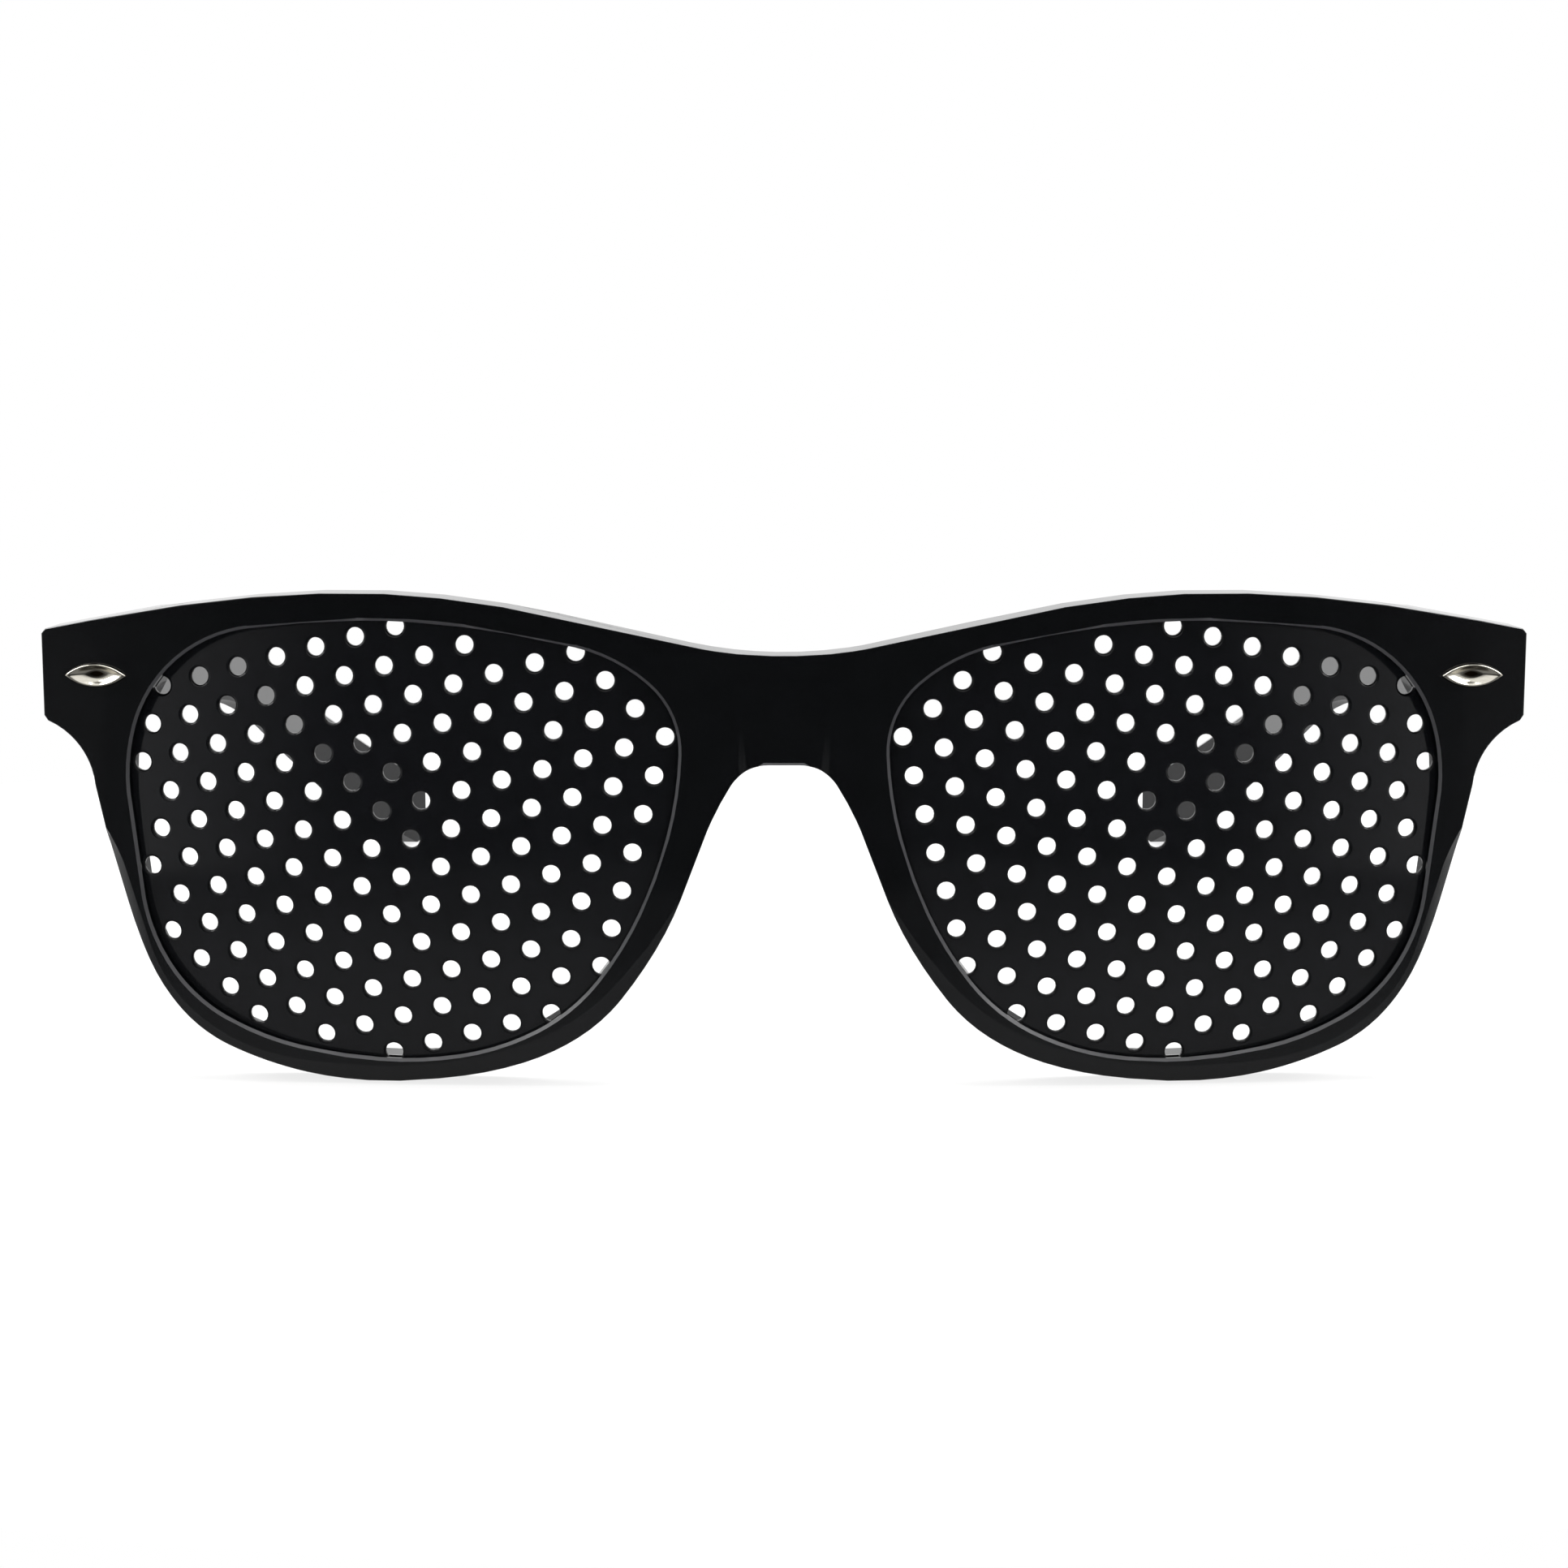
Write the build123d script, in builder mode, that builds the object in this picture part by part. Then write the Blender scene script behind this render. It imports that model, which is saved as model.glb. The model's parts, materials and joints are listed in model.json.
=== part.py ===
from build123d import *
from math import asin, cos, degrees, radians, sin, sqrt, tan
import os

os.makedirs("parts", exist_ok=True)

# Frame of the model: X to the wearer's left, Y from the front to the back, Z up, millimetres.
# The glasses stand on the two rims and the two temple tips, with the temples open.
# Every paired piece is made for the wearer's left and mirrored for the right.

# Driving sizes of the front
half_width = 72.5          # middle of the bridge to the outer side of an end piece
front_height = 48.4        # lowest point of a rim to the highest point of the brow
front_radius = 520.0       # wrap of the whole front, seen from above
rim_depth = 4.4            # front to back, through a rim
cut_overrun = 3.0          # how far every cutting tool runs past what it cuts

# Lens opening of a rim, seen from the front
opening_width = 0.7407 * half_width
opening_height = 0.8905 * front_height
opening_x = 0.5117 * half_width     # centre of the opening
opening_z = 0.5 * front_height
opening_steps = 10         # pairs of arcs that follow its outline

# Perforated plate and the groove that holds it
plate_radius = 130.0       # outer face of the plate
plate_thickness = 0.8
plate_bulge = 1.1          # how far its middle stands in front of the rim
plate_tuck = 1.0           # how far its edge runs under the rim
groove_clearance = 0.05    # round the plate, on every side
hole_diameter = 1.8
hole_sides = 6             # each hole is drawn with this many flats
hole_pitch_up = 4.035      # along the rows that climb towards the nose
hole_pitch_down = 3.96     # along the rows that fall towards the nose
row_angle_up = 14.5
row_angle_down = 43.8
hole_start_x = 4.91        # first hole, from the opening's centre towards the nose
hole_start_z = 1.52        # and above the centre
hole_margin = 0.3          # least plate left outside a hole

# End piece, where the temple butts
end_depth = 11.0           # from the foremost point of the bridge to the butt face
block_width = 10.5         # thickened part, from the outer side
block_slope = 2.4          # run of its slope down to the back of the rim
end_bevel = 0.4            # of its two outer corners, seen from the front

# Sloped facet round the lower half of each rim
facet_slope = 0.78         # depth for each unit of width

# Bridge
channel_half_top = 0.049 * half_width      # half width of its flat panel, at the top
channel_half_bottom = 0.04 * half_width    # and at the bottom
channel_flank = 1.1        # width of the soft crease at each side of the panel
channel_depth = 0.35

# Nose pad, moulded on the back of a rim
pad_x = 0.178 * half_width           # middle of its foot
pad_z = 0.3554 * front_height
pad_length = 0.2686 * front_height
pad_width = 2.7
pad_tip_length = 0.1963 * front_height
pad_tip_width = 1.7
pad_splay = 0.5            # its tip leans this far away from the nose
pad_foot_depth = 3.6       # its foot, from the foremost point of the bridge
pad_tip_depth = 8.4        # and its tip
pad_angle = -63.5

# Hinge
knuckle_radius = 1.4
knuckle_gap = 0.08         # between two knuckles, along the pin
hinge_gap = 0.2            # between a knuckle and what it turns past
leaf_thickness = 0.8
hinge_height = 5.6
hinge_z = 0.8306 * front_height
front_leaf_length = 3.2
temple_leaf_length = 8.0
screw_radius = 0.65
screw_running_gap = 0.04
screw_head_radius = 1.1
screw_head_height = 0.5
screw_slot_width = 0.3
screw_slot_depth = 0.25

# Temple
temple_thickness = 3.2
temple_flush = 0.2         # its outer side stays this far inside the end piece
butt_gap = 0.15            # between the end piece and the open temple
toe_in = 3.5               # angle of the open temple towards the head
straight_length = 40.0     # then it curves inwards
temple_curve_radius = 800.0
temple_length = 141.0      # hinge to the end of the tip, straight along the temple
bend_length = 60.0         # hinge to the bend over the ear
bend_depth = 5.6           # height of the section at the bend
tip_depth = 10.0           # height of the section at the tip, before it is rounded
fall_angle = 23.0          # of the underside behind the bend
sole_length = 27.0         # last part of the underside, which falls less
sole_angle = 18.0
bend_radius = 90.0
tip_round = 2.9
temple_edge_bevel = 0.5

# Almond-shaped metal trims
trim_length = 6.2
trim_height = 2.2
trim_border = 0.45
trim_proud = 0.4
trim_pocket_depth = 0.35
trim_gap = 0.03
trim_hollow_depth = 0.3
trim_inset = 5.4           # middle of the front's trim, from the outer side
temple_trim_reach = 8.6    # hinge to the middle of the temple's trim

# Outline of the front as shares of half_width and front_height, from the bridge outwards
brow_shares = [
    (0.0, 0.878), (0.105, 0.889), (0.221, 0.928), (0.350, 0.969),
    (0.624, 1.0), (0.842, 0.966), (1.0, 0.922),
]
brow_ways = [(1, 0), (1, -0.2)]      # directions at its two ends
brow_steps = 4                       # pairs of arcs that follow it
corner_shares = [(1.0, 0.740), (0.957, 0.696), (0.932, 0.607)]
rim_shares = [
    (0.932, 0.607), (0.914, 0.489), (0.887, 0.332),
    (0.849, 0.199), (0.7945, 0.1027), (0.705, 0.039), (0.610, 0.004), (0.524, 0.0),
    (0.447, 0.011), (0.358, 0.0386), (0.284, 0.0889), (0.2397, 0.1417), (0.192, 0.236),
    (0.1457, 0.359), (0.1116, 0.498), (0.0713, 0.6165),
]
rim_ways = [(-0.2, -1), (-1, 1.6)]
rim_steps = 8
arch_shares = [(0.0713, 0.6165), (0.0583, 0.641), (0.0389, 0.654), (0.0, 0.6574)]
arch_ways = [(-1, 1.6), (-1, 0)]
arch_steps = 2

# Lens opening as shares of its half width (outwards) and half height, round its centre
opening_shares = [
    (1.0, 0.145), (0.945, 0.594), (0.805, 0.829), (0.534, 0.954), (0.199, 0.998),
    (-0.144, 0.985), (-0.436, 0.935), (-0.695, 0.850), (-0.863, 0.748), (-0.967, 0.603),
    (-1.0, 0.420), (-0.953, 0.012), (-0.857, -0.319), (-0.737, -0.570), (-0.590, -0.775),
    (-0.417, -0.902), (0.032, -1.0), (0.437, -0.936), (0.652, -0.840), (0.814, -0.675),
    (0.920, -0.459), (0.974, -0.173),
]

# Inner line of the sloped facet, as shares of half_width and front_height
facet_shares = [
    (0.960, 0.590), (0.915, 0.511), (0.880, 0.378), (0.845, 0.2225), (0.7515, 0.091),
    (0.604, 0.0413), (0.524, 0.039), (0.402, 0.0645), (0.278, 0.1444), (0.206, 0.247),
    (0.135, 0.394), (0.080, 0.520),
]
facet_near_share = 0.92    # the facet's cutting face starts inside its line
facet_far_share = 1.40     # and ends outside the rim


# Places along X and Z, worked out from the driving sizes
leaf_bottom = hinge_z - hinge_height / 2
block_inner_x = half_width - block_width
trim_x = half_width - trim_inset
wrap_angle = asin(opening_x / front_radius)
toe_angle = radians(toe_in)
bend_fall = tan(radians(fall_angle))
sole_fall = tan(radians(sole_angle))
end_top = brow_shares[-1][1] * front_height
end_bottom = corner_shares[0][1] * front_height
hinge_x = half_width - temple_flush - temple_thickness - hinge_gap - knuckle_radius
temple_inner = knuckle_radius + hinge_gap    # inner side of the temple, from the hinge axis
temple_outer = temple_inner + temple_thickness
bow_length = temple_length + cut_overrun - straight_length
temple_bow_arc = degrees(asin(bow_length / temple_curve_radius))


def sagitta(radius, x):
    """How far an arc falls back at a distance x from its foremost point."""
    return radius - sqrt(radius**2 - x**2)


# Places along Y: the origin lies under the middle of the depth, from the foremost point
# of the plates to the end of the temples
plate_front = (
    sagitta(front_radius, opening_x)
    + (plate_radius - plate_bulge) * cos(wrap_angle)
    - plate_radius
)
temple_end = (
    end_depth + temple_inner
    + temple_length * cos(toe_angle)
    + (temple_outer - sagitta(temple_curve_radius, temple_length - straight_length))
    * sin(toe_angle)
)
front_y = -(plate_front + temple_end) / 2    # foremost point of the bridge
end_y = front_y + end_depth                  # face that the temple butts on
hinge_y = end_y + temple_inner


def front_face_y(x):
    """Place of the curved front face along Y, at a distance x from the middle."""
    return front_y + sagitta(front_radius, x)


# Planes that the sketches stand on
top_view = Plane(origin=(0, front_y, 0))
front_view = Plane.XZ.offset(plate_bulge + cut_overrun - front_y)
through_depth = plate_bulge + end_depth + 2 * cut_overrun
lens_plane = Plane(
    origin=(opening_x, front_face_y(opening_x), opening_z),
    x_dir=(cos(wrap_angle), sin(wrap_angle), 0),
    z_dir=(sin(wrap_angle), -cos(wrap_angle), 0),
)
end_plane = Plane.XZ.offset(-end_y)
hinge_plane = Plane(origin=(hinge_x, hinge_y, leaf_bottom))
temple_top_view = Plane(
    origin=(hinge_x, hinge_y, 0), x_dir=(cos(toe_angle), sin(toe_angle), 0), z_dir=(0, 0, 1)
)
temple_side_view = Plane(
    origin=temple_top_view.origin, x_dir=temple_top_view.y_dir, z_dir=temple_top_view.x_dir
)
trim_angle = asin(trim_x / front_radius)
front_trim_plane = Plane(
    origin=(trim_x, front_face_y(trim_x), hinge_z),
    x_dir=(cos(trim_angle), sin(trim_angle), 0),
    z_dir=(sin(trim_angle), -cos(trim_angle), 0),
)
temple_trim_plane = Plane(
    origin=temple_top_view.from_local_coords((temple_outer, temple_trim_reach, hinge_z)),
    x_dir=temple_top_view.y_dir,
    z_dir=temple_top_view.x_dir,
)
temple_bow = sagitta(temple_curve_radius, bow_length)
leaf_start = knuckle_radius + hinge_gap      # from the hinge axis to the full-height leaf
knuckle_height = (hinge_height - 2 * knuckle_gap) / 3
middle_knuckle_z = knuckle_height + knuckle_gap
top_knuckle_z = hinge_height - knuckle_height


def scaled(shares, width, height, centre=(0, 0)):
    """Points of an outline from its shares of two sizes."""
    return [(centre[0] + u * width, centre[1] + v * height) for u, v in shares]


def almond(length, height):
    """Pointed oval between two arcs."""
    with BuildSketch() as oval:
        with BuildLine():
            ThreePointArc((-length / 2, 0), (0, height / 2), (length / 2, 0))
            ThreePointArc((length / 2, 0), (0, -height / 2), (-length / 2, 0))
        make_face()
    return oval.sketch


def hole_outline():
    """One many-sided hole, from straight curve pieces round its centre."""
    corners = [
        Vector(hole_diameter / 2, 0).rotate(Axis.Z, 360 * side / hole_sides)
        for side in range(hole_sides)
    ]
    with BuildSketch() as hole:
        with BuildLine():
            for side in range(hole_sides):
                Bezier(corners[side - 1], corners[side])
        make_face()
    return hole.sketch


def arc_chain(curve, steps, grow=0):
    """Line of smoothly joined arcs beside a curve, moved by grow to its right-hand side."""
    stations = []
    for step in range(steps + 1):
        along = curve.tangent_at(step / steps)
        side = Vector(along.Y, -along.X) * grow
        stations.append((curve.position_at(step / steps) + side, along))
    with BuildLine() as chain:
        for (start, start_way), (end, end_way) in zip(stations, stations[1:]):
            span = end - start
            both_ways = start_way + end_way
            turn = 2 * (1 - start_way.dot(end_way))
            reach = (
                sqrt(span.dot(both_ways) ** 2 + turn * span.dot(span)) - span.dot(both_ways)
            ) / turn
            joint = (start + end + (start_way - end_way) * reach) / 2
            TangentArc(start, joint, tangent=start_way)
            TangentArc(end, joint, tangent=-end_way)
    return chain.line


def opening_sketch(grow):
    """Lens opening seen from the front, made larger all round by grow."""
    shape = scaled(
        opening_shares, opening_width / 2, opening_height / 2, (opening_x, opening_z)
    )
    with BuildSketch(front_view) as sketch:
        with BuildLine():
            edge = Spline(*shape, periodic=True, mode=Mode.PRIVATE)
            add(arc_chain(edge, opening_steps, grow))
        make_face()
    return sketch.sketch


def lens_shell(outline, extra):
    """Slice of a hollow sphere inside the outline, thicker by extra on both faces."""
    centre = lens_plane.from_local_coords((0, 0, plate_bulge - plate_radius))
    with BuildPart() as shell:
        extrude(outline, amount=-through_depth)
        with Locations(centre):
            Sphere(plate_radius + extra, mode=Mode.INTERSECT)
            Sphere(plate_radius - plate_thickness - extra, mode=Mode.SUBTRACT)
    return shell.part


def trim_pocket(plane):
    """Shallow pocket that holds a trim."""
    with BuildPart() as pocket:
        with BuildSketch(plane):
            add(almond(trim_length + 2 * trim_gap, trim_height + 2 * trim_gap))
        extrude(amount=-trim_pocket_depth)
    return pocket.part


def make_trim(plane):
    """Almond trim with a raised border round a hollow middle."""
    hollow = 1 - 2 * trim_border / trim_height
    with BuildPart() as trim:
        with BuildSketch(plane.offset(-trim_pocket_depth)):
            add(almond(trim_length, trim_height))
        extrude(amount=trim_pocket_depth + trim_proud)
        with BuildSketch(plane.offset(trim_proud)):
            add(almond(trim_length * hollow, trim_height * hollow))
        extrude(amount=-trim_hollow_depth, mode=Mode.SUBTRACT)
    return trim.part


def knuckle(bottom):
    """One barrel of the hinge, with its bottom at a height on the hinge."""
    with BuildPart() as barrel:
        with BuildSketch(hinge_plane.offset(bottom)):
            Circle(knuckle_radius)
        extrude(amount=knuckle_height)
    return barrel.part


def screw_hole():
    """Running hole of the hinge screw, through the whole hinge."""
    with BuildPart() as hole:
        with BuildSketch(hinge_plane):
            Circle(screw_radius + screw_running_gap)
        extrude(amount=hinge_height)
    return hole.part


def bounds_rectangle(x_low, x_high, y_low, y_high):
    """Rectangle between two pairs of bounds."""
    with BuildSketch() as area:
        with Locations(((x_low + x_high) / 2, (y_low + y_high) / 2)):
            Rectangle(x_high - x_low, y_high - y_low)
    return area.sketch


opening = opening_sketch(0)
plate_outline = opening_sketch(plate_tuck)
groove_outline = opening_sketch(plate_tuck + groove_clearance)

# Lattice of the holes inside the plate's edge, round the opening's centre
row_up = Vector(-cos(radians(row_angle_up)), sin(radians(row_angle_up))) * hole_pitch_up
row_down = Vector(-cos(radians(row_angle_down)), -sin(radians(row_angle_down))) * hole_pitch_down
hole_field = opening_sketch(plate_tuck - hole_margin - hole_diameter / 2).face()
row_count = int(opening_width / min(hole_pitch_up, hole_pitch_down)) + 1
hole_places = []
for i in range(-row_count, row_count + 1):
    for j in range(-row_count, row_count + 1):
        place = Vector(-hole_start_x, hole_start_z) + row_up * i + row_down * j
        spot = lens_plane.from_local_coords((place.X, place.Y, 0))
        if hole_field.is_inside((spot.X, front_view.origin.Y, spot.Z)):
            hole_places.append((place.X, place.Y))

# Perforated plate, curved like a shallow lens
with BuildPart() as left_pinhole_plate:
    add(lens_shell(plate_outline, 0))
    with BuildSketch(lens_plane.offset(plate_bulge + cut_overrun)):
        with Locations(*hole_places):
            add(hole_outline())
    extrude(amount=-through_depth, clean=False, mode=Mode.SUBTRACT)

# Cutting face of the lower facet: it starts in front of the rim and ends behind its side
facet_line = scaled(facet_shares, half_width, front_height)
facet_near = []
facet_far = []
for x, z in facet_line:
    reach = sqrt((x - opening_x) ** 2 + (z - opening_z) ** 2)
    for share, points in ((facet_near_share, facet_near), (facet_far_share, facet_far)):
        depth = front_face_y(x) + (share - 1) * reach * facet_slope
        points.append((
            opening_x + (x - opening_x) * share, depth, opening_z + (z - opening_z) * share
        ))
facet_face = Face.make_surface_from_curves(Spline(*facet_near), Spline(*facet_far))

# One half of the front, from the middle of the bridge outwards
with BuildPart() as half_front:
    # Curved band of the rims and the bridge, seen from above
    with BuildSketch(top_view):
        with Locations((0, front_radius)):
            Circle(front_radius)
            Circle(front_radius - rim_depth, mode=Mode.SUBTRACT)
        Rectangle(half_width, end_depth, align=(Align.MIN, Align.MIN), mode=Mode.INTERSECT)
    extrude(amount=front_height)
    # Thicker end piece for the hinge, sloped down to the back of the rim
    with BuildSketch(top_view.offset(end_bottom)):
        back = sagitta(front_radius, block_inner_x - block_slope) + rim_depth
        with BuildLine():
            Polyline(
                (block_inner_x - block_slope, back - rim_depth / 2),
                (block_inner_x - block_slope, back),
                (block_inner_x, end_depth),
                (half_width, end_depth),
                (half_width, back - rim_depth / 2),
                close=True,
            )
        make_face()
    extrude(amount=front_height - end_bottom)
    # Groove for the plate
    add(lens_shell(groove_outline, groove_clearance), mode=Mode.SUBTRACT)
    # Outline of the front with its lens opening
    with BuildSketch(front_view):
        with BuildLine():
            for shares, steps, ways in (
                (brow_shares, brow_steps, brow_ways),
                (rim_shares, rim_steps, rim_ways),
                (arch_shares, arch_steps, arch_ways),
            ):
                curve = Spline(
                    *scaled(shares, half_width, front_height), tangents=ways, mode=Mode.PRIVATE
                )
                add(arc_chain(curve, steps))
            Line((half_width, end_top), (half_width, end_bottom))
            ThreePointArc(*scaled(corner_shares, half_width, front_height))
            Line((0, arch_shares[-1][1] * front_height), (0, brow_shares[0][1] * front_height))
        make_face()
        chamfer(vertices().group_by(Axis.X)[-1], end_bevel)
        add(opening, mode=Mode.SUBTRACT)
    extrude(amount=-through_depth, mode=Mode.INTERSECT)
    # Nose pad
    with BuildSketch(Plane.XZ.offset(-front_y - pad_foot_depth)):
        with Locations((pad_x, pad_z)):
            SlotOverall(pad_length, pad_width, rotation=pad_angle)
    with BuildSketch(Plane.XZ.offset(-front_y - pad_tip_depth)):
        with Locations((pad_x + pad_splay, pad_z)):
            SlotOverall(pad_tip_length, pad_tip_width, rotation=pad_angle)
    loft()
    # Flat panel of the bridge between two soft creases
    for height, half in ((0, channel_half_bottom), (front_height, channel_half_top)):
        with BuildSketch(top_view.offset(height)):
            with BuildLine():
                Polyline(
                    (0, -channel_depth),
                    (half + 2 * channel_flank, -channel_depth),
                    (half, channel_depth),
                    (0, channel_depth),
                    close=True,
                )
            make_face()
    loft(mode=Mode.SUBTRACT)
    # Sloped facet round the lower half of the rim
    extrude(facet_face, amount=end_depth + cut_overrun, dir=(0, -1, 0), mode=Mode.SUBTRACT)
    # Pocket of the trim
    add(trim_pocket(front_trim_plane), mode=Mode.SUBTRACT)

with BuildPart() as front_frame:
    add(half_front.part)
    mirror(about=Plane.YZ)

# Temple: its side view cut to the curved strip that it shows from above
with BuildPart() as left_temple:
    tip_bottom = tip_round * (1 - sole_fall - 1 / cos(radians(sole_angle)))
    sole_start = temple_length - sole_length
    sole_bottom = tip_bottom + sole_length * sole_fall
    bend_bottom = sole_bottom + (sole_start - bend_length) * bend_fall
    butt_reach = -temple_inner - temple_outer * sin(toe_angle)
    with BuildSketch(temple_side_view):
        with BuildLine():
            FilletPolyline(
                (butt_reach, end_top),
                (bend_length, bend_bottom + bend_depth),
                (temple_length, tip_bottom + tip_depth),
                (temple_length, tip_bottom),
                (sole_start, sole_bottom),
                (bend_length, bend_bottom),
                (butt_reach, end_bottom),
                radius=(bend_radius, tip_round, tip_round, bend_radius, bend_radius),
            )
            Line((butt_reach, end_bottom), (butt_reach, end_top))
        make_face()
    extrude(amount=temple_outer + temple_bow, both=True)
    with BuildSketch(temple_top_view):
        with BuildLine():
            outer = Line((temple_outer, butt_reach), (temple_outer, straight_length))
            outer_bow = JernArc(outer @ 1, (0, 1), temple_curve_radius, temple_bow_arc)
            inner = Line((temple_inner, butt_reach), (temple_inner, straight_length))
            inner_bow = JernArc(
                inner @ 1, (0, 1), temple_curve_radius - temple_thickness, temple_bow_arc
            )
            Line(outer @ 0, inner @ 0)
            Line(outer_bow @ 1, inner_bow @ 1)
        make_face()
    extrude(amount=front_height, mode=Mode.INTERSECT)
    split(bisect_by=end_plane.offset(-butt_gap), keep=Keep.BOTTOM)
    long_edges = edges().filter_by(lambda edge: edge.center().Y > end_y + 2 * butt_gap)
    chamfer(long_edges, temple_edge_bevel)
    add(trim_pocket(temple_trim_plane), mode=Mode.SUBTRACT)

# Hinge leaf of the front: a plate on the end face and the two outer knuckles
with BuildPart() as left_front_hinge_leaf:
    with BuildSketch(end_plane):
        leaf_edge = hinge_x - leaf_start
        add(bounds_rectangle(
            leaf_edge - front_leaf_length, leaf_edge, leaf_bottom, leaf_bottom + hinge_height
        ))
        for bottom in (leaf_bottom, leaf_bottom + top_knuckle_z):
            add(bounds_rectangle(leaf_edge, hinge_x, bottom, bottom + knuckle_height))
    extrude(amount=-leaf_thickness)
    add(knuckle(0))
    add(knuckle(top_knuckle_z))
    add(screw_hole(), mode=Mode.SUBTRACT)

# Hinge leaf of the temple: a plate on its inner side and the middle knuckle
with BuildPart() as left_temple_hinge_leaf:
    with BuildSketch(temple_side_view.offset(temple_inner)):
        add(bounds_rectangle(
            leaf_start, leaf_start + temple_leaf_length, leaf_bottom, leaf_bottom + hinge_height
        ))
        bottom = leaf_bottom + middle_knuckle_z
        add(bounds_rectangle(0, leaf_start, bottom, bottom + knuckle_height))
    extrude(amount=-leaf_thickness)
    add(knuckle(middle_knuckle_z))
    add(screw_hole(), mode=Mode.SUBTRACT)

# Hinge screw with a slotted head
with BuildPart() as left_hinge_screw:
    with BuildSketch(hinge_plane):
        Circle(screw_radius)
    extrude(amount=hinge_height)
    with BuildSketch(hinge_plane.offset(hinge_height)):
        Circle(screw_head_radius)
    extrude(amount=screw_head_height)
    with BuildSketch(hinge_plane.offset(hinge_height + screw_head_height)):
        Rectangle(2 * screw_head_radius, screw_slot_width)
    extrude(amount=-screw_slot_depth, mode=Mode.SUBTRACT)

with BuildPart() as left_front_trim:
    add(make_trim(front_trim_plane))

with BuildPart() as left_temple_trim:
    add(make_trim(temple_trim_plane))

front_frame.part.label = "front_frame"
export_step(front_frame.part, "parts/front_frame.step")

# Each paired piece is written for the left, and its mirror image for the right
left_pieces = {
    "pinhole_plate": left_pinhole_plate,
    "temple": left_temple,
    "front_hinge_leaf": left_front_hinge_leaf,
    "temple_hinge_leaf": left_temple_hinge_leaf,
    "hinge_screw": left_hinge_screw,
    "front_trim": left_front_trim,
    "temple_trim": left_temple_trim,
}
for name, left_piece in left_pieces.items():
    left_piece.part.label = "left_" + name
    export_step(left_piece.part, "parts/left_" + name + ".step")
    with BuildPart() as right_piece:
        mirror(left_piece.part, about=Plane.YZ)
    right_piece.part.label = "right_" + name
    export_step(right_piece.part, "parts/right_" + name + ".step")

print("holes in each plate:", len(hole_places))
print("foremost point of the bridge at Y", round(front_y, 3))
print("hinge axis at", round(hinge_x, 3), round(hinge_y, 3))
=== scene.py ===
"""Looks of a pair of pinhole glasses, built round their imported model.

Sizes are in millimetres and become metres where a mesh or a lamp is made. The frame is that of
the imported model: X to the wearer's left, the front faces -Y, and Z is up.
"""

from __future__ import annotations

import json
import logging
import math
from dataclasses import dataclass
from enum import Enum

import bmesh
import bpy
import numpy as np
from bpy.types import ID, Material, Mesh, Node, NodeSocket, NodeTree, Object
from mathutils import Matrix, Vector


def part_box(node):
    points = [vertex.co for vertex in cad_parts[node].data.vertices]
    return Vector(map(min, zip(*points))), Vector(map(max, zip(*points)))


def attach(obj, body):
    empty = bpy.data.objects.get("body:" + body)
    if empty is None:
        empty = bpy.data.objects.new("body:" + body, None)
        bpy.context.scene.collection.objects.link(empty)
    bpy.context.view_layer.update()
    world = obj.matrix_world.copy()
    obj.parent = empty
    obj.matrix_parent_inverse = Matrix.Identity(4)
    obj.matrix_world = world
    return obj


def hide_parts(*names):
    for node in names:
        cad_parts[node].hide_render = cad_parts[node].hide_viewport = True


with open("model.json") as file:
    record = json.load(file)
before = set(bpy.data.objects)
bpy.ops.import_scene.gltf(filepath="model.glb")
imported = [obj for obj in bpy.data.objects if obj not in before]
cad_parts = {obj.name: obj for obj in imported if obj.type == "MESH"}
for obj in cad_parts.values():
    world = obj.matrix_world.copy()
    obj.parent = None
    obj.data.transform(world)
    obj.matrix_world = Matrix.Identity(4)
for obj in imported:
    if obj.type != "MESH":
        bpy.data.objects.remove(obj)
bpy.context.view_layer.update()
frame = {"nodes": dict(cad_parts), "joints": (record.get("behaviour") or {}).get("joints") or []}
LOG = logging.getLogger("pinhole_glasses")
MM = 0.001

# Degrees: an edge is rounded above the first angle and shaded smooth below the second
ROUND_ABOVE = 50.0
SMOOTH_BELOW = 26.0
# How far large faces outweigh small ones where the shading is evened, 50 being not at all
LARGE_FACE_WEIGHT = 90
# Points of a shell nearer than this, in millimetres, are one
SAME_POINT = 0.0005


class Side(Enum):
    """The wearer's two sides, with the sign of X on each."""

    LEFT = 1
    RIGHT = -1

    @property
    def word(self) -> str:
        """Word that the names of this side's pieces start with."""
        return self.name.lower()


@dataclass(frozen=True)
class FrontShape:
    """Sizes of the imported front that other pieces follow, in millimetres."""

    y: float
    wrap_radius: float = 520.0
    opening_x: float = 37.1
    opening_z: float = 24.2

    def fall(self, across: float) -> float:
        """How far the wrapped face lies back, at a distance from its middle."""
        return self.wrap_radius - math.sqrt(self.wrap_radius**2 - across**2)

    def place(self, x: float, z: float) -> tuple[Vector, Vector, Vector]:
        """Find a point of the wrapped face, on the left side.

        Args:
            x: Distance from the middle.
            z: Height.

        Returns:
            The point in metres, the direction along the face there, and the outward direction.
        """
        turn = math.asin(x / self.wrap_radius)
        point = Vector((x, self.y + self.fall(x), z)) * MM
        along = Vector((math.cos(turn), math.sin(turn), 0.0))
        return point, along, Vector((math.sin(turn), -math.cos(turn), 0.0))


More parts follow.
